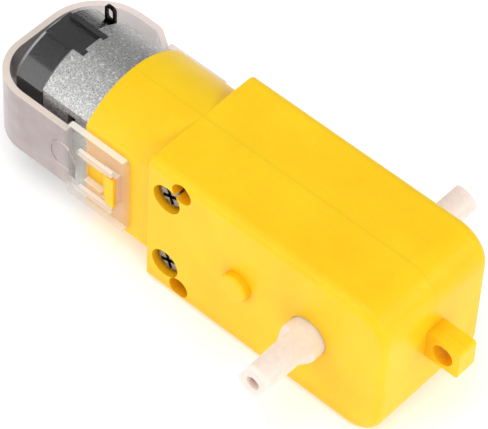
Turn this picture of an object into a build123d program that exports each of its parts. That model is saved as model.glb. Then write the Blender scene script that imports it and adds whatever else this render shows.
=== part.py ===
from build123d import *
import os
from math import acos, cos, pi, radians, sin, tan

# Right-angle geared dc motor. The origin is on the output shaft's axis, midway between
# the sides of the gearbox. +X runs to the front tab, Y along the output shaft, +Z up.

os.makedirs("parts", exist_ok=True)

# Gearbox case
case_height = 22.0
case_width = 18.8
case_front = 11.3
case_rear = 25.7
case_wall = 1.5
case_corner = 4.6
case_edge = 1.2
case_rear_edge = 0.3
bulkhead = 1.5

# Mounting features
mount_hole = 3.0
mount_spacing = 17.5
mount_setback = 20.3
mount_boss_wall = 1.0
locating_boss_diameter = 4.0
locating_boss_height = 1.1
locating_boss_edge = 0.4
tab_length = 5.0
tab_height = 4.4
tab_rise = 1.1
tab_thickness = 3.0
tab_hole = 3.0
tab_corner = 0.5

# Case screws
screw_diameter = 2.0
screw_spacing = 12.0
screw_setback = 22.6
screw_boss = 5.4
screw_recess = 4.2
screw_head = 3.7
screw_head_height = 1.2
screw_head_sunk = 0.7
screw_head_edge = 0.35
screw_grip = 13.4
screw_cross = 0.55
screw_cross_length = 2.5
screw_cross_depth = 0.7
screw_cross_turn = 20

# Output shaft
shaft_diameter = 5.4
shaft_across_flats = 3.7
shaft_reach = 9.6
shaft_round_length = 1.6
shaft_flat_runout = 0.8
shaft_chamfer = 0.35
shaft_flat_turn = 25.0
shaft_screw_hole = 1.9
shaft_screw_depth = 7.0

# Motor
motor_diameter = 20.1
motor_across_flats = 15.0
can_length = 20.0
can_wall = 0.8
can_front_edge = 0.4
can_rear_edge = 0.4
motor_seat = 0.5
front_boss_diameter = 6.0
cap_length = 5.0
cap_step = 0.75
cap_flat_step = 0.2
cap_wall = 1.1
cap_chamfer = 0.7
cap_spigot = 1.6
rear_boss_diameter = 6.4
rear_boss_length = 2.6
rear_boss_wall = 0.6
notch_width = 4.4
notch_depth = 1.6
notch_leg = 0.5
rib_width = 0.9
tongue_step = 0.5
rib_step = 0.05
rib_setback = 1.4
vent_length = 1.2
vent_height = 2.8
vent_rise = 4.2
vent_setback = 5.2
motor_shaft_diameter = 2.0
bush_wall = 0.9
magnet_inner = 12.8
magnet_length = 14.0
magnet_rise = 4.2
magnet_setback = 2.3
magnet_gap = 0.02
magnet_clip_length = 5.0
magnet_clip_thickness = 0.28
rotor_diameter = 12.0
rotor_length = 11.0
rotor_from_can_front = 4.5
rotor_arm = 1.9
rotor_hub = 4.4
pole_shoe = 1.1
pole_gap = 1.4
insulator_thickness = 0.4
insulator_step = 0.2
coil_overhang = 1.3
coil_depth = 1.9
coil_width = 4.2
coil_middle = 3.35
coil_corner = 0.5
commutator_diameter = 5.6
commutator_length = 3.2
commutator_setback = 3.6
commutator_wall = 0.7
commutator_slot = 0.4
commutator_lip = 0.5
brush_height = 1.2
brush_length = 1.4
brush_width = 1.6
leaf_thickness = 0.25
leaf_overhang = 1.2
lug_width = 1.7
lug_thickness = 0.4
lug_reach = 10.0
lug_setback = 3.9
lug_corner = 0.7
lug_offset = 6.0
lug_hole = 1.0
lug_hole_length = 1.9
lug_rim = 0.35

# Motor collar and strap
collar_length = 11.1
collar_wall = 0.88
collar_flat_wall = 0.7
hook_length = 2.3
hook_width = 5.0
hook_height = 1.35
hook_setback = 5.4
strap_thickness = 0.9
strap_width = 9.8
strap_rear_gap = 0.15
strap_corner = 6.5
strap_far_corner = 7.9
strap_bow = 2.1
strap_bow_run = 3.2
strap_bow_bend = 2.5
plate_length = 9.7
plate_corner = 0.6
plate_width = 12.6
plate_setback = 3.9
window_length = 5.4
window_width = 3.8
rail_width = 0.8
rail_height = 0.5
rail_shift = 0.4
rail_extra = 0.6
ring_radius = 2.1
ring_setback = 0.5
ring_width = 0.25
ring_height = 0.12

# Gear train: 24/7 x 33/11 x 28/16 x 32/12 = 48
gear_module = 0.5
face_module = 0.6
pressure_angle = radians(25)
addendum = 0.9
dedendum = 1.15
spur_backlash = 0.08
face_backlash = 0.14
motor_pinion_teeth = 7
face_teeth = 24
face_pinion_teeth = 11
idler_wheel_teeth = 33
idler_pinion_teeth = 16
second_wheel_teeth = 28
second_pinion_teeth = 12
output_teeth = 32
gear_pin_diameter = 1.5
gear_pin_seat = 1.0
washer_thickness = 0.35
gear_hub_diameter = 4.0
idler_sleeve_diameter = 6.3
output_hub_step = 0.3
washer_width = 1.6
pinion_setback = 0.6
pinion_shaft_overhang = 0.3
tooth_steps = 6

# Gear faces along Y, from the near side
output_gear_span = (-7.5, -5.6)
second_pinion_span = (-7.5, -5.3)
second_wheel_span = (-5.3, -3.3)
idler_pinion_span = (-5.3, -3.1)
idler_wheel_span = (4.6, 6.6)
face_pinion_span = (4.2, 7.0)
hub_split = -3.1
face_width = 1.0

# Fits
running_gap = 0.05
slip_gap = 0.05
motor_gap = 0.05
side_play = 0.05

# Derived places
half_width = case_width / 2
chamber_depth = half_width - case_wall
can_front = -(case_rear - motor_seat)
can_rear = can_front - can_length
bulkhead_face = can_front + bulkhead
motor_radius = motor_diameter / 2
motor_flat = motor_across_flats / 2
collar_end = -(case_rear + collar_length)
collar_radius = motor_radius + motor_gap + collar_wall
collar_flat = motor_flat + motor_gap + collar_flat_wall
cap_end = can_rear - cap_length
rear_boss_end = cap_end - rear_boss_length
pin_x = -gear_module * (face_pinion_teeth + idler_wheel_teeth) / 2
half_spacing = mount_spacing / 2
half_screws = screw_spacing / 2
shaft_end = half_width + shaft_reach

# Frames: local z points to -Y for the gear axes and to +X for the motor
pin_frame = Plane(origin=(pin_x, 0, 0), x_dir=(1, 0, 0), z_dir=(0, -1, 0))


def involute(angle):
    """The involute function of a pressure angle."""
    return tan(angle) - angle


def tooth_half_angle(teeth, module, radius, backlash):
    """Half the angle that one spur tooth takes up at a radius."""
    pitch = module * teeth / 2
    base = pitch * cos(pressure_angle)
    at_pitch = pi / (2 * teeth) - backlash / (4 * pitch)
    here = acos(base / max(radius, base))
    return at_pitch + involute(pressure_angle) - involute(here)


def spur_tooth(teeth, module, backlash):
    """The closed outline of one spur tooth, centred on local +X."""
    pitch = module * teeth / 2
    root = pitch - dedendum * module
    tip = pitch + addendum * module
    upper = [(0.8 * root, tooth_half_angle(teeth, module, root, backlash))]
    for i in range(tooth_steps + 1):
        radius = root + (tip - root) * i / tooth_steps
        upper.append((radius, tooth_half_angle(teeth, module, radius, backlash)))
    flank = [(r * cos(a), r * sin(a)) for r, a in upper]
    mirrored = [(x, -y) for x, y in reversed(flank)]
    return flank + mirrored


def spur_sketch(teeth, module=gear_module, first_tooth=0.0, backlash=spur_backlash):
    """A whole spur gear's section, with a tooth centred at the angle first_tooth."""
    with BuildSketch() as tooth:
        with BuildLine():
            Polyline(*spur_tooth(teeth, module, backlash), close=True)
        make_face()
    with BuildSketch() as section:
        Circle(module * teeth / 2 - dedendum * module)
        with PolarLocations(0, teeth, start_angle=first_tooth):
            add(tooth.sketch)
    return section.sketch


def at_y(frame, y):
    """The frame's plane moved along its axis to the place y."""
    return frame.offset(-y)


def double_flat(radius, flat):
    """A round section with two flats that face +Y and -Y, on a YZ plane."""
    with BuildSketch() as section:
        Circle(radius)
        Rectangle(2 * flat, 2 * radius, mode=Mode.INTERSECT)
    return section.sketch


# Gearbox case: one blank for both halves, on the -Y side
with BuildPart() as half_shell:
    with BuildSketch(Plane.XZ) as outline:
        with Locations(((case_front - case_rear) / 2, 0)):
            Rectangle(case_front + case_rear, case_height)
        fillet(outline.vertices().group_by(Axis.X)[-1], case_corner)
    extrude(amount=half_width)
    fillet(half_shell.faces().sort_by(Axis.Y)[0].edges().sort_by(Axis.X)[1:], case_edge)
    fillet(half_shell.faces().sort_by(Axis.X)[0].edges().sort_by(Axis.Y)[:-1], case_rear_edge)

    # Motor collar
    with BuildSketch(Plane.YZ.offset(collar_end)):
        add(double_flat(collar_radius, collar_flat))
        with Locations((collar_radius, 0)):
            Rectangle(2 * collar_radius, 2 * collar_radius, mode=Mode.SUBTRACT)
    extrude(amount=collar_length + case_rear_edge)

    # Hook for the strap, with a ramp that rises towards the gearbox
    hook_front = -(case_rear + hook_setback)
    with BuildSketch(Plane.XY.offset(-hook_width / 2)):
        with BuildLine():
            Polyline(
                (hook_front, -(collar_flat - collar_flat_wall / 2)),
                (hook_front, -(collar_flat + hook_height)),
                (hook_front - 0.5 * hook_length, -(collar_flat + hook_height)),
                (hook_front - hook_length, -(collar_flat + 0.45 * hook_height)),
                (hook_front - hook_length, -(collar_flat - collar_flat_wall / 2)),
                close=True,
            )
        make_face()
    extrude(amount=hook_width)

    # Motor seat, gear chamber and the hole for the motor's front boss
    with BuildSketch(Plane.YZ.offset(collar_end)):
        add(double_flat(motor_radius + motor_gap, motor_flat + motor_gap))
    extrude(amount=can_front - collar_end, mode=Mode.SUBTRACT)
    with BuildSketch(Plane.YZ.offset(can_front)):
        Circle(front_boss_diameter / 2 + motor_gap)
    extrude(amount=bulkhead, mode=Mode.SUBTRACT)
    with BuildSketch(Plane.XZ) as chamber:
        with Locations(((case_front - case_wall + bulkhead_face) / 2, 0)):
            Rectangle(case_front - case_wall - bulkhead_face, case_height - 2 * case_wall)
        fillet(chamber.vertices().group_by(Axis.X)[-1], case_corner - case_wall)
    extrude(amount=chamber_depth, mode=Mode.SUBTRACT)

    # Bosses for the mounting screws and the case screws, kept inside the case
    with BuildSketch(Plane.XZ) as bosses:
        with Locations((-mount_setback, half_spacing), (-mount_setback, -half_spacing)):
            Circle(mount_hole / 2 + mount_boss_wall)
        with Locations((-screw_setback, half_screws), (-screw_setback, -half_screws)):
            Circle(screw_boss / 2)
        with Locations(((bulkhead_face + case_front) / 2 - bulkhead / 2, 0)):
            Rectangle(
                case_front - bulkhead_face + bulkhead, case_height - case_wall, mode=Mode.INTERSECT
            )
    extrude(amount=chamber_depth + case_wall / 2)

    # Holes on the Y axis
    with BuildSketch(Plane.XZ):
        with Locations((-mount_setback, half_spacing), (-mount_setback, -half_spacing)):
            Circle(mount_hole / 2)
        Circle(shaft_diameter / 2 + running_gap)
    extrude(amount=half_width, mode=Mode.SUBTRACT)
    with BuildSketch(pin_frame):
        Circle(gear_pin_diameter / 2)
    extrude(amount=chamber_depth + gear_pin_seat, mode=Mode.SUBTRACT)

    # Half of the front tab
    with BuildSketch(Plane.XZ) as tab_outline:
        with Locations((case_front + (tab_length - case_wall / 2) / 2, tab_rise)):
            Rectangle(tab_length + case_wall / 2, tab_height)
        fillet(tab_outline.vertices().group_by(Axis.X)[-1], tab_corner)
        with Locations((case_front + tab_length / 2, tab_rise)):
            Circle(tab_hole / 2, mode=Mode.SUBTRACT)
    extrude(amount=tab_thickness / 2)

screw_seat = half_width - screw_head_sunk - screw_head_height
screw_tip = screw_grip - screw_seat

with BuildPart() as housing_near:
    add(half_shell.part)
    with BuildSketch(at_y(pin_frame, -half_width)):
        Circle(locating_boss_diameter / 2)
    extrude(amount=locating_boss_height)
    fillet(housing_near.faces().sort_by(Axis.Y)[0].edges(), locating_boss_edge)
    with BuildSketch(at_y(Plane.XZ, -half_width)):
        with Locations((-screw_setback, half_screws), (-screw_setback, -half_screws)):
            Circle(screw_recess / 2)
    extrude(amount=-(half_width - screw_seat), mode=Mode.SUBTRACT)
    with BuildSketch(Plane.XZ):
        with Locations((-screw_setback, half_screws), (-screw_setback, -half_screws)):
            Circle(screw_diameter / 2 + slip_gap)
    extrude(amount=half_width, mode=Mode.SUBTRACT)
housing_near.part.label = "housing_near"
export_step(housing_near.part, "parts/housing_near.step")

with BuildPart() as housing_far:
    add(mirror(half_shell.part, about=Plane.XZ))
    # Self-tapping holes for the case screws
    with BuildSketch(Plane.XZ):
        with Locations((-screw_setback, half_screws), (-screw_setback, -half_screws)):
            Circle(screw_diameter / 2)
    extrude(amount=-(screw_tip + slip_gap), mode=Mode.SUBTRACT)
housing_far.part.label = "housing_far"
export_step(housing_far.part, "parts/housing_far.step")

# Case screws
with BuildPart() as case_screws:
    screw_places = [(-screw_setback, half_screws), (-screw_setback, -half_screws)]
    with BuildSketch(at_y(Plane.XZ, -screw_seat)):
        with Locations(*screw_places):
            Circle(screw_head / 2)
    extrude(amount=screw_head_height)
    fillet(case_screws.faces().group_by(Axis.Y)[0].edges(), screw_head_edge)
    with BuildSketch(at_y(Plane.XZ, -screw_seat)):
        with Locations(*screw_places):
            Circle(screw_diameter / 2)
    extrude(amount=-screw_grip)
    # Cross recess
    with BuildSketch(at_y(Plane.XZ, -screw_seat - screw_head_height)):
        with Locations(*screw_places):
            Rectangle(screw_cross_length, screw_cross, rotation=screw_cross_turn)
            Rectangle(screw_cross_length, screw_cross, rotation=screw_cross_turn + 90)
    extrude(amount=-screw_cross_depth, mode=Mode.SUBTRACT)
case_screws.part.label = "case_screws"
export_step(case_screws.part, "parts/case_screws.step")

# Clear strap that holds the motor in its collar
strap_inside = collar_flat + slip_gap
strap_outside = strap_inside + strap_thickness
strap_end = rear_boss_end - strap_rear_gap - strap_thickness
plate_front = -(case_rear + plate_setback)
plate_rear = plate_front - plate_length
plate_middle = plate_front - plate_length / 2
window_front = hook_front + slip_gap


def strap_outline(inset):
    """The strap's outline seen along Z, with its far side bowed out behind the plate."""
    side = strap_outside - inset
    bowed = side + strap_bow
    rear = strap_end + inset
    bow_end = plate_rear - strap_bow_run
    corners = [
        ((rear, -side, 0), strap_corner - inset),
        ((rear, bowed, 0), strap_far_corner - inset),
        ((bow_end, bowed, 0), strap_bow_bend),
        ((plate_rear, side, 0), strap_bow_bend),
    ]
    with BuildSketch() as shape:
        with BuildLine():
            Polyline(
                (plate_front, -side),
                (rear, -side),
                (rear, bowed),
                (bow_end, bowed),
                (plate_rear, side),
                (plate_front, side),
                close=True,
            )
        make_face()
        for corner, radius in corners:
            fillet(shape.vertices().sort_by_distance(corner)[0], radius)
    return shape.sketch


with BuildPart() as retaining_strap:
    # Band around the motor
    with BuildSketch():
        add(strap_outline(0))
    extrude(amount=strap_width / 2, both=True)
    with BuildSketch():
        add(strap_outline(strap_thickness))
    extrude(amount=strap_width / 2, both=True, mode=Mode.SUBTRACT)
    for side in (-1, 1):
        # End plate
        with BuildSketch(at_y(Plane.XZ, side * strap_inside)) as plate:
            with Locations((plate_middle, 0)):
                Rectangle(plate_length, plate_width)
            fillet(plate.vertices(), plate_corner)
        extrude(amount=-side * strap_thickness)
        # Rails above and below the window
        with BuildSketch(at_y(Plane.XZ, side * strap_outside)):
            with Locations(
                (window_front - window_length / 2 - rail_shift, hook_width / 2 + rail_width),
                (window_front - window_length / 2 - rail_shift, -hook_width / 2 - rail_width),
            ):
                SlotOverall(window_length + rail_extra, rail_width)
        extrude(amount=-side * rail_height)
    # Round moulding mark on the near side
    with BuildSketch(at_y(Plane.XZ, -strap_outside)):
        with Locations((plate_rear - ring_setback, 0)):
            Circle(ring_radius + ring_width / 2)
            Circle(ring_radius - ring_width / 2, mode=Mode.SUBTRACT)
    extrude(amount=ring_height)
    # Windows for the hooks
    with BuildSketch(Plane.XZ):
        with Locations((window_front - window_length / 2, 0)):
            Rectangle(window_length, window_width)
        with Locations((window_front - hook_length / 2 - slip_gap, 0)):
            Rectangle(hook_length + 2 * slip_gap, hook_width + 2 * slip_gap)
    extrude(amount=strap_outside + rail_height, both=True, mode=Mode.SUBTRACT)
retaining_strap.part.label = "retaining_strap"
export_step(retaining_strap.part, "parts/retaining_strap.step")

# Motor can, open at the rear
bush_radius = motor_shaft_diameter / 2 + running_gap + bush_wall
can_inside = motor_radius - can_wall
can_inside_flat = motor_flat - can_wall
leg_middle = (notch_width - rib_width) / 2
with BuildPart() as motor_can:
    with BuildSketch(Plane.YZ.offset(can_rear)):
        add(double_flat(motor_radius, motor_flat))
    extrude(amount=can_length)
    fillet(motor_can.faces().sort_by(Axis.X)[-1].edges(), can_front_edge)
    chamfer(motor_can.faces().sort_by(Axis.X)[0].edges(), can_rear_edge)
    with BuildSketch(Plane.YZ.offset(can_rear)):
        add(double_flat(can_inside, can_inside_flat))
    extrude(amount=can_length - can_wall, mode=Mode.SUBTRACT)
    with BuildSketch(Plane.YZ.offset(can_front)):
        Circle(front_boss_diameter / 2)
    extrude(amount=bulkhead)
    with BuildSketch(Plane.YZ.offset(can_front - can_wall)):
        Circle(bush_radius)
    extrude(amount=can_wall + bulkhead, mode=Mode.SUBTRACT)
    # Notches for the end cap's tongues
    with BuildSketch() as notches:
        with Locations((can_rear + notch_depth / 2, 0)):
            Rectangle(notch_depth, notch_width)
        with Locations((can_rear + (notch_depth + notch_leg) / 2, 0)):
            with Locations((0, leg_middle), (0, -leg_middle)):
                Rectangle(notch_depth + notch_leg, rib_width)
    extrude(amount=motor_radius, both=True, mode=Mode.SUBTRACT)
    # Vents in the flats
    with BuildSketch(Plane.XZ):
        with Locations((can_rear + vent_setback, vent_rise), (can_rear + vent_setback, -vent_rise)):
            Rectangle(vent_length, vent_height)
    extrude(amount=motor_radius, both=True, mode=Mode.SUBTRACT)
motor_can.part.label = "motor_can"
export_step(motor_can.part, "parts/motor_can.step")

# End cap
cap_radius = motor_radius - cap_step
cap_flat = motor_flat - cap_flat_step
commutator_middle = cap_end + commutator_setback
lug_middle = cap_end + lug_setback
with BuildPart() as end_cap:
    with BuildSketch(Plane.YZ.offset(cap_end)):
        add(double_flat(cap_radius, cap_flat))
    extrude(amount=cap_length)
    chamfer(end_cap.faces().sort_by(Axis.X)[0].edges(), cap_chamfer)
    with BuildSketch(Plane.YZ.offset(can_rear)):
        add(double_flat(can_inside - slip_gap, can_inside_flat - slip_gap))
    extrude(amount=cap_spigot)
    # Tongues in the can's notches, with two ribs on each
    with BuildSketch() as tongues:
        with Locations(((cap_end + cap_chamfer + can_rear + notch_depth - slip_gap) / 2, 0)):
            Rectangle(cap_length - cap_chamfer + notch_depth - slip_gap, notch_width - 2 * slip_gap)
    extrude(amount=motor_radius - tongue_step, both=True)
    with BuildSketch() as ribs:
        rib_length = cap_length - rib_setback + notch_depth + notch_leg - slip_gap
        with Locations((can_rear + notch_depth + notch_leg - slip_gap - rib_length / 2, 0)):
            with Locations((0, leg_middle), (0, -leg_middle)):
                Rectangle(rib_length, rib_width - 2 * slip_gap)
    extrude(amount=motor_radius - rib_step, both=True)
    # Brush chamber
    with BuildSketch(Plane.YZ.offset(cap_end + cap_wall)):
        add(double_flat(can_inside - cap_wall, lug_offset + lug_thickness / 2 + slip_gap))
    extrude(amount=cap_length + cap_spigot + notch_leg, mode=Mode.SUBTRACT)
    # Rear boss with the bush seat
    with BuildSketch(Plane.YZ.offset(rear_boss_end)):
        Circle(rear_boss_diameter / 2)
    extrude(amount=rear_boss_length)
    fillet(end_cap.faces().sort_by(Axis.X)[0].edges(), rear_boss_wall)
    with BuildSketch(Plane.YZ.offset(rear_boss_end + rear_boss_wall)):
        Circle(bush_radius)
    extrude(amount=rear_boss_length + cap_wall, mode=Mode.SUBTRACT)
    # Slots for the terminals
    with BuildSketch():
        with Locations((lug_middle, lug_offset)):
            Rectangle(lug_width, lug_thickness)
    extrude(amount=motor_radius, both=True, mode=Mode.SUBTRACT)
end_cap.part.label = "end_cap"
export_step(end_cap.part, "parts/end_cap.step")

# Terminals: a solder lug outside, a brush spring inside
brush_inner = commutator_diameter / 2 + running_gap
leaf_height = brush_inner + brush_height
with BuildPart() as terminals:
    for side in (-1, 1):
        with BuildSketch(at_y(Plane.XZ, lug_offset + lug_thickness / 2)) as lug:
            with Locations((lug_middle, side * (lug_reach + leaf_height) / 2)):
                Rectangle(lug_width, lug_reach - leaf_height)
            fillet(lug.vertices().sort_by(Axis.Y)[:: side][-2:], lug_corner)
            with Locations((lug_middle, side * (lug_reach - lug_rim - lug_hole_length / 2))):
                SlotOverall(lug_hole_length, lug_hole, rotation=90, mode=Mode.SUBTRACT)
        extrude(amount=lug_thickness)
        leaf_base = leaf_height if side > 0 else -leaf_height - leaf_thickness
        with BuildSketch(Plane.XY.offset(leaf_base)):
            with Locations((commutator_middle, (lug_offset + lug_thickness / 2 - leaf_overhang) / 2)):
                Rectangle(lug_width, lug_offset + lug_thickness / 2 + leaf_overhang)
        extrude(amount=leaf_thickness)
terminals.part.label = "terminals"
export_step(terminals.part, "parts/terminals.step")

with BuildPart() as brushes:
    for side in (-1, 1):
        base = brush_inner if side > 0 else -leaf_height
        with BuildSketch(Plane.XY.offset(base)):
            with Locations((commutator_middle, 0)):
                Rectangle(brush_length, brush_width)
        extrude(amount=brush_height)
brushes.part.label = "brushes"
export_step(brushes.part, "parts/brushes.step")

# Magnets and the clip between them
magnet_end = can_front - magnet_setback
for name, side in (("magnet_upper", 1), ("magnet_lower", -1)):
    with BuildPart() as magnet:
        with BuildSketch(Plane.YZ.offset(magnet_end - magnet_length)):
            Circle(can_inside - magnet_gap)
            Circle(magnet_inner / 2, mode=Mode.SUBTRACT)
            with Locations((0, side * (magnet_rise + can_inside) / 2)):
                Rectangle(
                    2 * (can_inside_flat - slip_gap), can_inside - magnet_rise, mode=Mode.INTERSECT
                )
        extrude(amount=magnet_length)
    magnet.part.label = name
    export_step(magnet.part, "parts/" + name + ".step")

with BuildPart() as magnet_spring:
    with BuildSketch(at_y(Plane.XZ, can_inside_flat - slip_gap)):
        with Locations((magnet_end - magnet_length / 2, 0)):
            Rectangle(magnet_clip_length, 2 * magnet_rise)
    extrude(amount=magnet_clip_thickness)
magnet_spring.part.label = "magnet_spring"
export_step(magnet_spring.part, "parts/magnet_spring.step")


def turned(start, length, outer, inner, label):
    """A ring or sleeve on the motor's axis, from the place start towards +X."""
    with BuildPart() as piece:
        with BuildSketch(Plane.YZ.offset(start)):
            Circle(outer)
            Circle(inner, mode=Mode.SUBTRACT)
        extrude(amount=length)
    piece.part.label = label
    return piece.part


motor_shaft_radius = motor_shaft_diameter / 2
bush_bore = motor_shaft_radius + running_gap
front_bush_start = can_front - can_wall
rear_bush_start = rear_boss_end + rear_boss_wall
motor_shaft_start = rear_bush_start + slip_gap
rear_bush_end = cap_end + cap_wall
front_bush = turned(front_bush_start, can_wall + bulkhead, bush_radius, bush_bore, "front_bush")
export_step(front_bush, "parts/front_bush.step")
rear_bush = turned(rear_bush_start, rear_bush_end - rear_bush_start, bush_radius, bush_bore, "rear_bush")
export_step(rear_bush, "parts/rear_bush.step")

# Rotor
pinion_end = pin_x - face_module * face_teeth / 2 + face_width
rotor_front = can_front - rotor_from_can_front
rotor_rear = rotor_front - rotor_length
with BuildPart() as motor_shaft:
    with BuildSketch(Plane.YZ.offset(motor_shaft_start)):
        Circle(motor_shaft_radius)
    extrude(amount=pinion_end + pinion_shaft_overhang - motor_shaft_start)
motor_shaft.part.label = "motor_shaft"
export_step(motor_shaft.part, "parts/motor_shaft.step")


def three_poles(outer):
    """The section of the rotor: a hub, three arms and three pole shoes."""
    with BuildSketch() as section:
        Circle(outer)
        Circle(outer - pole_shoe, mode=Mode.SUBTRACT)
        with PolarLocations(outer, 3, start_angle=60):
            Rectangle(4 * pole_shoe, pole_gap, mode=Mode.SUBTRACT)
        Circle(rotor_hub / 2)
        with PolarLocations(outer / 2, 3):
            Rectangle(outer - pole_shoe, rotor_arm)
        Circle(motor_shaft_radius, mode=Mode.SUBTRACT)
    return section.sketch


with BuildPart() as rotor_core:
    with BuildSketch(Plane.YZ.offset(rotor_rear)):
        add(three_poles(rotor_diameter / 2))
    extrude(amount=rotor_length)
rotor_core.part.label = "rotor_core"
export_step(rotor_core.part, "parts/rotor_core.step")

with BuildPart() as rotor_insulators:
    for start in (rotor_rear - insulator_thickness, rotor_front):
        with BuildSketch(Plane.YZ.offset(start)):
            add(three_poles(rotor_diameter / 2 - insulator_step))
        extrude(amount=insulator_thickness)
rotor_insulators.part.label = "rotor_insulators"
export_step(rotor_insulators.part, "parts/rotor_insulators.step")

coil_length = rotor_length + 2 * (insulator_thickness + coil_overhang)
with BuildPart() as coil_blank:
    with BuildSketch(Plane.YZ.offset(rotor_rear - insulator_thickness - coil_overhang)):
        with Locations((coil_middle, 0)):
            RectangleRounded(coil_depth, coil_width, coil_corner)
    extrude(amount=coil_length)
    with BuildSketch(Plane.YZ.offset(rotor_rear - insulator_thickness)):
        with Locations((coil_middle, 0)):
            Rectangle(coil_depth, rotor_arm + 2 * side_play)
    extrude(amount=rotor_length + 2 * insulator_thickness, mode=Mode.SUBTRACT)
with BuildPart() as windings:
    for turn in (0, 120, 240):
        add(coil_blank.part.rotate(Axis.X, turn))
windings.part.label = "windings"
export_step(windings.part, "parts/windings.step")

commutator_start = commutator_middle - commutator_length / 2
core_radius = commutator_diameter / 2 - commutator_wall
commutator_core_start = commutator_start - commutator_lip
commutator_core = turned(
    commutator_core_start,
    rotor_rear - insulator_thickness - coil_overhang - commutator_core_start - slip_gap,
    core_radius,
    motor_shaft_radius,
    "commutator_core",
)
export_step(commutator_core, "parts/commutator_core.step")

with BuildPart() as commutator_segments:
    with BuildSketch(Plane.YZ.offset(commutator_start)):
        Circle(commutator_diameter / 2)
        Circle(core_radius, mode=Mode.SUBTRACT)
        with PolarLocations(commutator_diameter / 2, 3, start_angle=60):
            Rectangle(3 * commutator_wall, commutator_slot, mode=Mode.SUBTRACT)
    extrude(amount=commutator_length)
commutator_segments.part.label = "commutator_segments"
export_step(commutator_segments.part, "parts/commutator_segments.step")

with BuildPart() as rotor_washers:
    front_washer = front_bush_start - side_play - washer_thickness
    for start in (front_washer, rear_bush_end + side_play):
        with BuildSketch(Plane.YZ.offset(start)):
            Circle(bush_radius - slip_gap)
            Circle(motor_shaft_radius, mode=Mode.SUBTRACT)
        extrude(amount=washer_thickness)
rotor_washers.part.label = "rotor_washers"
export_step(rotor_washers.part, "parts/rotor_washers.step")

with BuildPart() as motor_pinion:
    with BuildSketch(Plane.YZ.offset(bulkhead_face + pinion_setback)):
        add(spur_sketch(motor_pinion_teeth, face_module, backlash=face_backlash))
        Circle(motor_shaft_radius, mode=Mode.SUBTRACT)
    extrude(amount=pinion_end - bulkhead_face - pinion_setback)
motor_pinion.part.label = "motor_pinion"
export_step(motor_pinion.part, "parts/motor_pinion.step")

# Face gear: the teeth stand towards -Y and roll on the motor pinion as a rack does
pinion_pitch = face_module * motor_pinion_teeth / 2
face_pitch = face_module * face_teeth / 2
face_tip_y = pinion_pitch - addendum * face_module
face_root_y = pinion_pitch + dedendum * face_module
face_outer = face_pitch + 0.4 * face_width
face_inner = face_outer - face_width


def face_tooth_half_width(radius, y):
    """Half the width of a face gear tooth at a radius and at the place y."""
    rolling = radius * motor_pinion_teeth / face_teeth
    angle = acos(pinion_pitch * cos(pressure_angle) / rolling)
    pinion_half = tooth_half_angle(motor_pinion_teeth, face_module, rolling, face_backlash)
    half = pi * radius / face_teeth - rolling * pinion_half - face_backlash / 2
    return half + (y - rolling) * tan(angle)


with BuildPart() as face_tooth:
    for radius in (face_inner, face_pitch, face_outer):
        root_y = face_root_y + 0.2
        tip_half = face_tooth_half_width(radius, face_tip_y)
        root_half = face_tooth_half_width(radius, root_y)
        with BuildSketch(Plane.YZ.offset(radius)):
            with BuildLine():
                Polyline(
                    (-tip_half, -face_tip_y),
                    (tip_half, -face_tip_y),
                    (root_half, -root_y),
                    (-root_half, -root_y),
                    close=True,
                )
            make_face()
    loft(ruled=True)


pin_bore = gear_pin_diameter / 2 + running_gap
hub_top = chamber_depth - washer_thickness - side_play
with BuildPart(pin_frame) as face_gear:
    with PolarLocations(0, face_teeth, start_angle=180 + 180 / face_teeth):
        add(face_tooth.part)
    with BuildSketch(at_y(pin_frame, face_pinion_span[0])):
        Circle(face_outer)
    extrude(amount=face_pinion_span[0] - face_root_y)
    with BuildSketch(at_y(pin_frame, face_pinion_span[1])):
        add(spur_sketch(face_pinion_teeth))
    extrude(amount=face_pinion_span[1] - face_pinion_span[0])
    with BuildSketch(at_y(pin_frame, hub_top)):
        Circle(gear_hub_diameter / 2)
    extrude(amount=hub_top - hub_split - side_play)
    with BuildSketch(at_y(pin_frame, hub_top)):
        Circle(pin_bore)
    extrude(amount=hub_top - hub_split, mode=Mode.SUBTRACT)
face_gear.part.label = "face_gear"
export_step(face_gear.part, "parts/face_gear.step")

with BuildPart() as second_compound_gear:
    with BuildSketch(at_y(pin_frame, second_wheel_span[1])):
        add(spur_sketch(second_wheel_teeth, first_tooth=180 / second_wheel_teeth))
    extrude(amount=second_wheel_span[1] - second_wheel_span[0])
    with BuildSketch(at_y(pin_frame, second_pinion_span[1])):
        add(spur_sketch(second_pinion_teeth))
    extrude(amount=second_pinion_span[1] - second_pinion_span[0])
    with BuildSketch(at_y(pin_frame, hub_split - side_play)):
        Circle(gear_hub_diameter / 2)
    extrude(amount=hub_split - side_play - second_wheel_span[0])
    with BuildSketch(at_y(pin_frame, hub_split)):
        Circle(pin_bore)
    extrude(amount=hub_split - second_pinion_span[0], mode=Mode.SUBTRACT)
second_compound_gear.part.label = "second_compound_gear"
export_step(second_compound_gear.part, "parts/second_compound_gear.step")

# Idler: runs freely on the output shaft
with BuildPart() as idler_gear:
    with BuildSketch(at_y(Plane.XZ, idler_wheel_span[1])):
        add(spur_sketch(idler_wheel_teeth, first_tooth=180 + 180 / idler_wheel_teeth))
    extrude(amount=idler_wheel_span[1] - idler_wheel_span[0])
    with BuildSketch(at_y(Plane.XZ, idler_pinion_span[1])):
        add(spur_sketch(idler_pinion_teeth))
    extrude(amount=idler_pinion_span[1] - idler_pinion_span[0])
    with BuildSketch(at_y(Plane.XZ, hub_top)):
        Circle(idler_sleeve_diameter / 2)
    extrude(amount=hub_top - idler_pinion_span[0])
    with BuildSketch(at_y(Plane.XZ, hub_top)):
        Circle(shaft_diameter / 2 + running_gap)
    extrude(amount=hub_top - idler_pinion_span[0], mode=Mode.SUBTRACT)
idler_gear.part.label = "idler_gear"
export_step(idler_gear.part, "parts/idler_gear.step")

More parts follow.
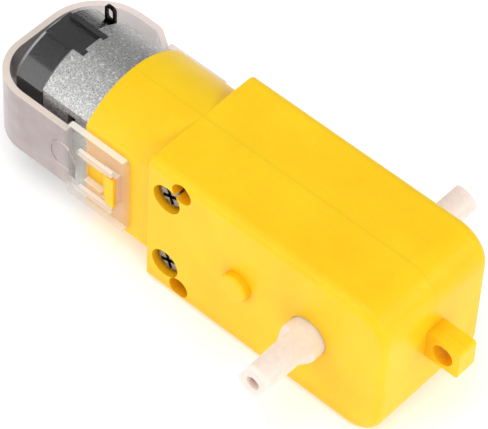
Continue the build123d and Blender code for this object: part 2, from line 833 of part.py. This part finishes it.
with BuildPart() as output_gear:
    with BuildSketch(at_y(Plane.XZ, output_gear_span[1])):
        add(spur_sketch(output_teeth, first_tooth=180 + 180 / output_teeth))
    extrude(amount=output_gear_span[1] - output_gear_span[0])
    hub_end = idler_pinion_span[0] - side_play
    with BuildSketch(at_y(Plane.XZ, hub_end)):
        Circle(idler_sleeve_diameter / 2 + output_hub_step)
    extrude(amount=hub_end - output_gear_span[0])
    with BuildSketch(at_y(Plane.XZ, hub_end)):
        Circle(shaft_diameter / 2)
    extrude(amount=hub_end - output_gear_span[0], mode=Mode.SUBTRACT)
output_gear.part.label = "output_gear"
export_step(output_gear.part, "parts/output_gear.step")

# Output shaft: round in its bearings, with two flats and a screw hole at each end
flat_turn = radians(shaft_flat_turn)
flat_frame = Plane(
    origin=(0, 0, 0), x_dir=(cos(flat_turn), 0, -sin(flat_turn)), z_dir=(sin(flat_turn), 0, cos(flat_turn))
)
flat_start = half_width + shaft_round_length
flat_half = shaft_across_flats / 2
with BuildPart() as output_shaft:
    with BuildSketch(at_y(Plane.XZ, shaft_end)):
        Circle(shaft_diameter / 2)
    extrude(amount=2 * shaft_end)
    chamfer(output_shaft.faces().filter_by(Axis.Y).edges(), shaft_chamfer)
    with BuildSketch(flat_frame):
        for across in (-1, 1):
            for end in (-1, 1):
                with BuildLine():
                    Polyline(
                        (across * flat_half, end * (shaft_end + 1)),
                        (across * flat_half, end * (flat_start + shaft_flat_runout)),
                        (across * shaft_diameter / 2, end * flat_start),
                        (across * shaft_diameter, end * flat_start),
                        (across * shaft_diameter, end * (shaft_end + 1)),
                        close=True,
                    )
                make_face()
    extrude(amount=shaft_diameter, both=True, mode=Mode.SUBTRACT)
    for end in (-1, 1):
        with BuildSketch(at_y(Plane.XZ, end * shaft_end)):
            Circle(shaft_screw_hole / 2)
        extrude(amount=end * shaft_screw_depth, mode=Mode.SUBTRACT)
output_shaft.part.label = "output_shaft"
export_step(output_shaft.part, "parts/output_shaft.step")

with BuildPart() as gear_pin:
    with BuildSketch(at_y(pin_frame, chamber_depth + gear_pin_seat)):
        Circle(gear_pin_diameter / 2)
    extrude(amount=2 * (chamber_depth + gear_pin_seat))
gear_pin.part.label = "gear_pin"
export_step(gear_pin.part, "parts/gear_pin.step")

# Thrust washers between the gears and the case
with BuildPart() as gear_washers:
    for top in (chamber_depth, washer_thickness - chamber_depth):
        with BuildSketch(at_y(Plane.XZ, top)):
            Circle(shaft_diameter / 2 + washer_width)
            Circle(shaft_diameter / 2 + running_gap, mode=Mode.SUBTRACT)
            with Locations((pin_x, 0)):
                Circle(gear_hub_diameter / 2)
                Circle(gear_pin_diameter / 2, mode=Mode.SUBTRACT)
        extrude(amount=washer_thickness)
gear_washers.part.label = "gear_washers"
export_step(gear_washers.part, "parts/gear_washers.step")
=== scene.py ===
from math import cos, pi, radians, sin

import bpy
from mathutils import Matrix, Vector


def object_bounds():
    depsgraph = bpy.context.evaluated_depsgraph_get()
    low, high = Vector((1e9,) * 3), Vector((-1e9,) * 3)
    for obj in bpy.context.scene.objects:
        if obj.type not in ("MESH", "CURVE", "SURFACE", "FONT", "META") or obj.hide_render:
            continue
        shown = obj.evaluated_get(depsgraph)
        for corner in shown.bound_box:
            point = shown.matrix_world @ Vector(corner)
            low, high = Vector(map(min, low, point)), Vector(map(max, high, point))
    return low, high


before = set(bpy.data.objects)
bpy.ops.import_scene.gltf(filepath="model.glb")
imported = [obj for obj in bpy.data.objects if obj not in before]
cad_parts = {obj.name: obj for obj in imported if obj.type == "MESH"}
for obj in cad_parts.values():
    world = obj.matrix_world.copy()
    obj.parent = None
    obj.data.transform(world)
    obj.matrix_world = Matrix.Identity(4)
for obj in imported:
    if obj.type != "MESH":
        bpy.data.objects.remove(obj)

cad_low, cad_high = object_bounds()
MM = 0.001

# ---------------------------------------------------------------- camera
CAMERA_AZIMUTH = 39.52
CAMERA_ELEVATION = 50.28
CAMERA_ROLL = 3.29
CAMERA_DISTANCE = 0.39958
CAMERA_TARGET = Vector((-0.01805, -0.00041, -0.00077))
CAMERA_LENS = 244.8
SENSOR_WIDTH = 36.0

# ---------------------------------------------------------------- places in millimetres
PLATE_START = -40.2
PLATE_FULL = -38.8
FAR_SIDE_START = 5
FAR_SIDE_FULL = 8
SEAM_INNER = 0.02
SEAM_OUTER = 0.07
RECESS_REACH = 5.0

# ---------------------------------------------------------------- studio
MOTOR_MIDDLE = Vector((-0.018, 0, 0))
LIGHT_DISTANCE = 0.8
FLOOR_HALF = 3.0
FLOOR_GAP = 0.0002
FLOOR_GLOW = 0.25
WORLD_STRENGTH = 0.45


def make_camera():
    """The camera at the photograph's viewing angle."""
    azimuth = radians(CAMERA_AZIMUTH)
    elevation = radians(CAMERA_ELEVATION)
    roll = radians(CAMERA_ROLL)
    forward = Vector(
        (-sin(azimuth) * cos(elevation), cos(azimuth) * cos(elevation), -sin(elevation))
    )
    level = forward.cross(Vector((0, 0, 1))).normalized()
    upright = level.cross(forward)
    right = level * cos(roll) + upright * sin(roll)
    up = upright * cos(roll) - level * sin(roll)
    turn = Matrix((right, up, -forward)).transposed().to_4x4()
    data = bpy.data.cameras.new("camera")
    data.lens = CAMERA_LENS
    data.sensor_width = SENSOR_WIDTH
    data.clip_start = 0.01
    camera = bpy.data.objects.new("camera", data)
    camera.matrix_world = Matrix.Translation(CAMERA_TARGET - forward * CAMERA_DISTANCE) @ turn
    bpy.context.scene.collection.objects.link(camera)
    bpy.context.scene.camera = camera


# ---------------------------------------------------------------- material building
class Shader:
    """A node material with a principled shader and helpers for its detail."""

    def __init__(self, name):
        self.material = bpy.data.materials.new(name)
        self.material.use_nodes = True
        self.tree = self.material.node_tree
        self.bsdf = self.tree.nodes["Principled BSDF"]
        self.coordinates = self.tree.nodes.new("ShaderNodeTexCoord")
        self.place = self.coordinates.outputs["Object"]

    def node(self, kind, **settings):
        made = self.tree.nodes.new(kind)
        for key, value in settings.items():
            setattr(made, key, value)
        return made

    def link(self, source, target):
        self.tree.links.new(source, target)

    def set(self, **values):
        for key, value in values.items():
            self.bsdf.inputs[key.replace("_", " ")].default_value = value

    def axis_value(self, axis, source="Object"):
        """One coordinate of the place or of the surface direction, in the piece's own frame."""
        split = self.node("ShaderNodeSeparateXYZ")
        self.link(self.coordinates.outputs[source], split.inputs[0])
        return split.outputs[axis]

    def noise(self, size, detail=2.0, roughness=0.5, stretch=(1, 1, 1)):
        """A noise value with features about this many millimetres across."""
        mapping = self.node("ShaderNodeMapping")
        mapping.inputs["Scale"].default_value = [s / (size * MM) for s in stretch]
        self.link(self.place, mapping.inputs["Vector"])
        texture = self.node("ShaderNodeTexNoise")
        texture.inputs["Scale"].default_value = 1.0
        texture.inputs["Detail"].default_value = detail
        texture.inputs["Roughness"].default_value = roughness
        self.link(mapping.outputs["Vector"], texture.inputs["Vector"])
        return texture.outputs["Fac"]

    def spread(self, value, low, high, start=0.3, end=0.7):
        """The value spread over the range low to high."""
        ranged = self.node("ShaderNodeMapRange")
        ranged.inputs["From Min"].default_value = start
        ranged.inputs["From Max"].default_value = end
        ranged.inputs["To Min"].default_value = low
        ranged.inputs["To Max"].default_value = high
        self.link(value, ranged.inputs["Value"])
        return ranged.outputs["Result"]

    def mix(self, factor, first, second):
        """A colour between two colours."""
        mixed = self.node("ShaderNodeMix", data_type="RGBA")
        self.link(factor, mixed.inputs["Factor"])
        for name, colour in (("A", first), ("B", second)):
            socket = [s for s in mixed.inputs if s.name == name and s.type == "RGBA"][0]
            if isinstance(colour, (tuple, list)):
                socket.default_value = (*colour, 1.0)
            else:
                self.link(colour, socket)
        return [s for s in mixed.outputs if s.type == "RGBA"][0]

    def mix_value(self, factor, first, second):
        """A number between a linked value and a constant."""
        mixed = self.node("ShaderNodeMix", data_type="FLOAT")
        self.link(factor, mixed.inputs["Factor"])
        sockets = [m for m in mixed.inputs if m.name in ("A", "B") and m.type == "VALUE"]
        self.link(first, sockets[0])
        sockets[1].default_value = second
        return [m for m in mixed.outputs if m.type == "VALUE"][0]

    def bump(self, value, height, strength=1.0, after=None):
        """A bump from a value, with its height in millimetres."""
        bump = self.node("ShaderNodeBump")
        bump.inputs["Strength"].default_value = strength
        bump.inputs["Distance"].default_value = height * MM
        self.link(value, bump.inputs["Height"])
        if after is not None:
            self.link(after, bump.inputs["Normal"])
        return bump.outputs["Normal"]

    def finish(self, colour=None, roughness=None, normal=None):
        for socket, source in (("Base Color", colour), ("Roughness", roughness), ("Normal", normal)):
            if source is not None:
                self.link(source, self.bsdf.inputs[socket])
        return self.material


def yellow_plastic():
    """Glossy yellow plastic with painted orange shade in its recesses (from ambient occlusion), and a faint
    parting line.
    """
    s = Shader("yellow_plastic")
    s.set(Specular_IOR_Level=0.25, IOR=1.49)
    s.bsdf.inputs["Subsurface Weight"].default_value = 0.2
    s.bsdf.inputs["Subsurface Radius"].default_value = (1.0, 0.6, 0.1)
    s.bsdf.inputs["Subsurface Scale"].default_value = 0.8 * MM
    cloud = s.noise(9.0, 3.0)
    grain = s.noise(0.3, 3.0, 0.6)
    # painted shade: ambient occlusion darkens the yellow to orange in recesses and corners, where shade
    # falls
    shade = s.node("ShaderNodeAmbientOcclusion", samples=12)
    shade.inputs["Distance"].default_value = RECESS_REACH * MM
    open_part = s.mix(s.spread(cloud, 0, 1), (0.94, 0.57, 0.005), (0.98, 0.635, 0.01))
    colour = s.mix(s.spread(shade.outputs["AO"], 0, 1, 0.25, 0.9), (0.92, 0.46, 0.003), open_part)
    across = s.node("ShaderNodeMath", operation="ABSOLUTE")
    s.link(s.axis_value("Y"), across.inputs[0])
    seam = s.spread(across.outputs[0], 0, 1, SEAM_INNER * MM, SEAM_OUTER * MM)
    colour = s.mix(seam, (0.95, 0.54, 0.006), colour)
    fine = s.bump(grain, 0.055, 0.9)
    return s.finish(colour, s.spread(grain, 0.28, 0.46), s.bump(seam, 0.01, 0.4, fine))


def satin_steel():
    """Sandblasted plated steel."""
    s = Shader("satin_steel")
    s.set(Metallic=0.85)
    grain = s.noise(0.2, 3.0, 0.75)
    speck = s.noise(0.42, 2.0, 0.6)
    cloud = s.noise(5.0, 3.0)
    base = s.mix(s.spread(grain, 0, 1, 0.36, 0.64), (0.24, 0.24, 0.24), (0.6, 0.6, 0.59))
    colour = s.mix(s.spread(speck, 0, 1, 0.56, 0.8), base, (0.88, 0.88, 0.87))
    roughness = s.spread(cloud, 0.3, 0.42)
    return s.finish(colour, roughness, s.bump(grain, 0.05, 0.9))


def black_plastic():
    """Glossy black plastic with a coarse grain that glints."""
    s = Shader("black_plastic")
    s.set(Specular_IOR_Level=0.55, Coat_Weight=0.8, Coat_Roughness=0.12)
    grain = s.noise(0.35, 3.0, 0.65)
    colour = s.mix(s.spread(grain, 0, 1), (0.002, 0.002, 0.002), (0.008, 0.008, 0.008))
    return s.finish(colour, s.spread(grain, 0.1, 0.24), s.bump(grain, 0.16, 1.0))


def clear_plastic():
    """Clear moulded plastic: a milky band, with painted light making the end plate paler and the +Y side
    lighter, and a painted cream highlight on the cut edges.
    """
    s = Shader("clear_plastic")
    s.set(IOR=1.45)
    wave = s.noise(3.0, 2.0)
    fine = s.noise(0.8, 3.0)
    band = s.mix(s.spread(wave, 0, 1), (0.46, 0.38, 0.375), (0.54, 0.46, 0.455))
    # painted light: the end plate is painted paler than the band, standing in for the bright yellow collar
    # seen through it
    plate = s.mix(s.spread(fine, 0, 1), (0.78, 0.72, 0.68), (0.86, 0.81, 0.77))
    along = s.spread(s.axis_value("X"), 0, 1, PLATE_START * MM, PLATE_FULL * MM)
    colour = s.mix(along, band, plate)
    cut = s.node("ShaderNodeMath", operation="ABSOLUTE")
    s.link(s.axis_value("Z", "Normal"), cut.inputs[0])
    # painted highlight: the cut faces of the strap, whose normals point up or down, are painted cream to
    # white and made more opaque
    edge_painted_highlight = s.spread(cut.outputs[0], 0, 1, 0.8, 0.95)
    colour = s.mix(edge_painted_highlight, colour, s.mix(along, (0.93, 0.80, 0.70), (0.98, 0.93, 0.85)))
    # painted light: the +Y side of the strap is painted paler and, in the loop below, made more see-through,
    # where its inner face would otherwise lie in shade
    far_side_painted_light = s.spread(s.axis_value("Y"), 0, 1, FAR_SIDE_START * MM, FAR_SIDE_FULL * MM)
    colour = s.mix(far_side_painted_light, colour, (0.84, 0.71, 0.68))
    weight = s.node("ShaderNodeLayerWeight")
    weight.inputs["Blend"].default_value = 0.35
    milk = s.spread(weight.outputs["Facing"], 0.68, 0.92, 0.1, 0.9)
    thinning = (("X", 0.26, PLATE_START, PLATE_FULL), ("Y", 0.6, FAR_SIDE_START, FAR_SIDE_FULL))
    for place, thinnest, start, end in thinning:
        thinner = s.node("ShaderNodeMath", operation="MULTIPLY")
        s.link(milk, thinner.inputs[0])
        s.link(s.spread(s.axis_value(place), 1, thinnest, start * MM, end * MM), thinner.inputs[1])
        milk = thinner.outputs[0]
    s.link(s.mix_value(edge_painted_highlight, milk, 0.85), s.bsdf.inputs["Alpha"])
    return s.finish(colour, s.spread(fine, 0.06, 0.16), s.bump(wave, 0.05, 0.4))


def nylon():
    s = Shader("nylon")
    s.bsdf.inputs["Subsurface Weight"].default_value = 0.8
    s.bsdf.inputs["Subsurface Radius"].default_value = (1.0, 0.7, 0.6)
    s.bsdf.inputs["Subsurface Scale"].default_value = 2.0 * MM
    grain = s.noise(0.6, 3.0)
    colour = s.mix(s.spread(grain, 0, 1), (0.80, 0.70, 0.65), (0.85, 0.76, 0.71))
    return s.finish(colour, s.spread(grain, 0.3, 0.42), s.bump(grain, 0.02, 0.4))


def plated_steel():
    s = Shader("plated_steel")
    s.set(Metallic=1.0)
    grain = s.noise(0.4, 3.0)
    colour = s.mix(s.spread(grain, 0, 1), (0.16, 0.14, 0.12), (0.4, 0.36, 0.35))
    return s.finish(colour, s.spread(grain, 0.15, 0.32), s.bump(grain, 0.03, 0.6))


def plain_metal(name, dark, light, rough):
    s = Shader(name)
    s.set(Metallic=1.0)
    grain = s.noise(0.4, 3.0)
    colour = s.mix(s.spread(grain, 0, 1), dark, light)
    return s.finish(colour, s.spread(grain, rough, rough + 0.15), s.bump(grain, 0.01, 0.5))


def plain_plastic(name, dark, light, rough):
    s = Shader(name)
    grain = s.noise(0.6, 3.0)
    colour = s.mix(s.spread(grain, 0, 1), dark, light)
    return s.finish(colour, s.spread(grain, rough, rough + 0.15), s.bump(grain, 0.01, 0.5))


def paint(material, *names):
    for name in names:
        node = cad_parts[name]
        node.data.materials.clear()
        node.data.materials.append(material)


paint(yellow_plastic(), "housing_near", "housing_far")
paint(satin_steel(), "motor_can")
paint(black_plastic(), "end_cap")
paint(clear_plastic(), "retaining_strap")
paint(nylon(), "output_shaft")
paint(plated_steel(), "case_screws")
paint(plain_metal("dull_brass", (0.012, 0.01, 0.01), (0.04, 0.035, 0.03), 0.3), "terminals")
paint(plain_metal("bronze", (0.35, 0.22, 0.1), (0.5, 0.33, 0.15), 0.4), "front_bush", "rear_bush", "brushes")
paint(plain_metal("ferrite", (0.02, 0.02, 0.022), (0.05, 0.05, 0.055), 0.5), "magnet_upper", "magnet_lower")
paint(
    plain_metal("ground_steel", (0.5, 0.5, 0.5), (0.7, 0.7, 0.7), 0.25),
    "motor_shaft", "gear_pin", "magnet_spring", "rotor_core",
)
paint(plain_metal("copper", (0.5, 0.2, 0.08), (0.7, 0.3, 0.13), 0.3), "windings", "commutator_segments")
paint(
    plain_plastic("white_acetal", (0.8, 0.79, 0.75), (0.86, 0.85, 0.82), 0.35),
    "motor_pinion", "face_gear", "second_compound_gear", "idler_gear", "output_gear",
)
paint(
    plain_plastic("grey_insulation", (0.5, 0.48, 0.42), (0.58, 0.56, 0.5), 0.5),
    "rotor_insulators", "commutator_core", "rotor_washers", "gear_washers",
)


# ---------------------------------------------------------------- floor and light
def make_floor():
    half = FLOOR_HALF
    mesh = bpy.data.meshes.new("floor")
    level = cad_low[2] - FLOOR_GAP
    mesh.from_pydata(
        [(-half, -half, level), (half, -half, level), (half, half, level), (-half, half, level)],
        [], [(0, 1, 2, 3)],
    )
    floor = bpy.data.objects.new("floor", mesh)
    bpy.context.scene.collection.objects.link(floor)
    s = Shader("floor")
    s.set(Roughness=0.9)
    s.set(Specular_IOR_Level=0.1)
    s.bsdf.inputs["Emission Color"].default_value = (1.0, 1.0, 1.0, 1.0)
    s.bsdf.inputs["Emission Strength"].default_value = FLOOR_GLOW
    cloud = s.noise(60.0, 2.0)
    colour = s.mix(s.spread(cloud, 0, 1), (0.93, 0.93, 0.93), (0.95, 0.95, 0.95))
    mesh.materials.append(s.finish(colour))


def make_light(name, azimuth, elevation, size, level):
    """A square soft light. level is the brightness that it gives a white surface that faces it."""
    data = bpy.data.lights.new(name, "AREA")
    data.shape = "SQUARE"
    data.size = size
    data.energy = level * (pi * LIGHT_DISTANCE) ** 2
    light = bpy.data.objects.new(name, data)
    a = radians(azimuth)
    e = radians(elevation)
    toward = Vector((-sin(a) * cos(e), cos(a) * cos(e), -sin(e)))
    light.location = MOTOR_MIDDLE - toward * LIGHT_DISTANCE
    light.rotation_euler = toward.to_track_quat("-Z", "Y").to_euler()
    bpy.context.scene.collection.objects.link(light)


def make_world(strength):
    world = bpy.data.worlds.new("studio")
    world.use_nodes = True
    background = world.node_tree.nodes["Background"]
    background.inputs["Color"].default_value = (1.0, 1.0, 1.0, 1.0)
    background.inputs["Strength"].default_value = strength
    bpy.context.scene.world = world


bpy.context.scene.view_settings.view_transform = "Standard"
make_camera()
make_floor()
make_world(WORLD_STRENGTH)
make_light("overhead", 0, 80, 0.6, 0.35)
make_light("key", -28, 30, 0.45, 0.27)
make_light("fill", 75, 30, 0.45, 0.30)
make_light("rim", 125, 28, 0.3, 0.15)
